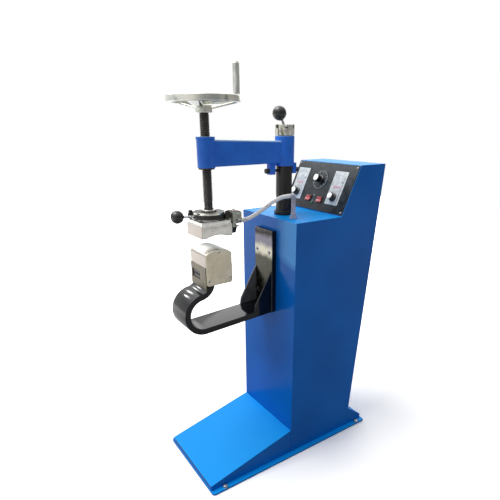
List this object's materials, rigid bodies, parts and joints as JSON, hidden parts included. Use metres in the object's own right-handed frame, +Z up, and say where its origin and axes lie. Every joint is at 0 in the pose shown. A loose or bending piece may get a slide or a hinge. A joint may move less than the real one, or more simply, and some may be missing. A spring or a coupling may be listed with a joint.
{
  "type": "tire vulcanizer",
  "caption": "Floor-standing tire vulcanizer: blue pedestal with sloped control panel, swinging screw press with handwheel, and heated plates over a bent lower arm.",
  "frame": {"origin": "on the ground under the front face of the pedestal, on the middle plane", "axes": "+Z up; -Y towards the front, where the press and the lower arm reach out; +X to the right seen from the front"},
  "size_m": [0.392, 0.8222, 1.5057],
  "materials": {
    "blue_paint": "gloss",
    "black_paint": "gloss",
    "black_oxide": "satin",
    "polished_steel": "polished",
    "aluminium": "satin",
    "steel": "satin",
    "zinc": "satin",
    "cover_steel": "satin",
    "bronze": "satin",
    "black_plastic": "gloss",
    "white_plastic": "satin",
    "grey_plastic": "satin",
    "red_plastic": "gloss",
    "green_lens": "gloss",
    "black_rubber": "matt"
  },
  "bodies": {
    "root": {"base_plate": "blue_paint", "cabinet_shell": "blue_paint", "foot_cover": "blue_paint", "rear_ledge": "blue_paint", "rear_panel": "blue_paint", "support_channel": "steel", "column": "black_paint", "column_base_ring": "black_paint", "castle_nut": "polished_steel", "hose_run_root": "white_plastic", "hose_riser": "grey_plastic", "arm_mount_plate": "steel", "gusset_left": "black_paint", "gusset_right": "black_paint", "lower_arm": "black_paint", "lower_heat_block": "aluminium", "lower_heater_element": "steel", "end_cover_left": "cover_steel", "end_cover_right": "cover_steel", "front_skirt": "cover_steel", "rear_skirt": "cover_steel", "heater_terminal": "black_plastic", "panel_plate": "black_paint", "thermostat_left": "white_plastic", "thermostat_right": "white_plastic", "timer_unit": "white_plastic", "switch_housing_left": "black_plastic", "switch_housing_right": "black_plastic", "indicator_lamp": "green_lens"},
    "swing_arm": {"swing_arm": "blue_paint", "column_bush": "bronze", "stop_bolt_front": "black_oxide", "stop_bolt_rear": "black_oxide", "spindle_nut": "bronze", "hose_run_arm": "white_plastic"},
    "press_hub": {"thrust_collar": "polished_steel", "thrust_bearing": "steel", "hose_sleeve": "white_plastic"},
    "spindle": {"spindle": "black_oxide", "handwheel": "polished_steel"},
    "grip": {"handwheel_grip": "steel"},
    "head": {"swivel_disc": "black_oxide", "disc_ring": "black_oxide", "disc_bolt_left": "black_oxide", "disc_bolt_right": "black_oxide", "head_base_plate": "aluminium", "upper_heat_block": "aluminium", "upper_heater_element": "steel", "head_lever": "polished_steel", "head_ball": "black_plastic", "terminal_box": "zinc", "hose_gland": "zinc", "terminal_boot": "black_rubber"},
    "clamp": {"clamp_lever": "polished_steel", "clamp_ball": "black_plastic"},
    "knob_left": {"thermostat_knob_left": "black_plastic"},
    "knob_right": {"thermostat_knob_right": "black_plastic"},
    "knob_timer": {"timer_knob": "black_plastic"},
    "switch_left": {"rocker_left": "red_plastic"},
    "switch_right": {"rocker_right": "red_plastic"}
  },
  "joints": [
    {"name": "arm_swing", "type": "hinge", "parent": "root", "child": "swing_arm", "pos_m": [0, 0.075, 1.23], "axis": [0, 0, 1], "range_deg": [-10, 45], "deforming": ["hose_run_root"]},
    {"name": "press_slide", "type": "slide", "parent": "swing_arm", "child": "press_hub", "axis": [0, 0, 1], "range_m": [-0.046, 0.128], "deforming": ["hose_run_arm"]},
    {"name": "spindle_turn", "type": "hinge", "parent": "press_hub", "child": "spindle", "pos_m": [0, -0.248, 1.2], "axis": [0, 0, 1], "range_deg": [-2762, 7682]},
    {"name": "grip_spin", "type": "hinge", "parent": "spindle", "child": "grip", "pos_m": [0.02649, -0.14175, 1.45], "axis": [0, 0, 1], "continuous": true},
    {"name": "head_swivel", "type": "hinge", "parent": "press_hub", "child": "head", "pos_m": [0, -0.248, 1.03], "axis": [0, 0, 1], "range_deg": [-12, 12], "deforming": ["hose_sleeve"]},
    {"name": "clamp_lever_turn", "type": "hinge", "parent": "root", "child": "clamp", "pos_m": [0, 0.075, 1.32], "axis": [0, 0, 1], "range_deg": [-60, 60]},
    {"name": "thermostat_left_turn", "type": "hinge", "parent": "root", "child": "knob_left", "pos_m": [-0.1235, 0.23329, 1.06214], "axis": [0, -0.9042, 0.427], "range_deg": [-270, 0]},
    {"name": "thermostat_right_turn", "type": "hinge", "parent": "root", "child": "knob_right", "pos_m": [0.097, 0.23329, 1.06214], "axis": [0, -0.9042, 0.427], "range_deg": [-270, 0]},
    {"name": "timer_turn", "type": "hinge", "parent": "root", "child": "knob_timer", "pos_m": [-0.008, 0.25933, 1.1173], "axis": [0, -0.9042, 0.427], "range_deg": [-300, 0]},
    {"name": "rocker_left_tip", "type": "hinge", "parent": "root", "child": "switch_left", "pos_m": [-0.038, 0.23277, 1.04137], "axis": [1, 0, 0], "range_deg": [0, 14]},
    {"name": "rocker_right_tip", "type": "hinge", "parent": "root", "child": "switch_right", "pos_m": [0.028, 0.23277, 1.04137], "axis": [1, 0, 0], "range_deg": [0, 14]}
  ],
  "couplings": [
    {"joint": "spindle_turn", "follows": "press_slide", "rad_per_m": 1047.2}
  ]
}
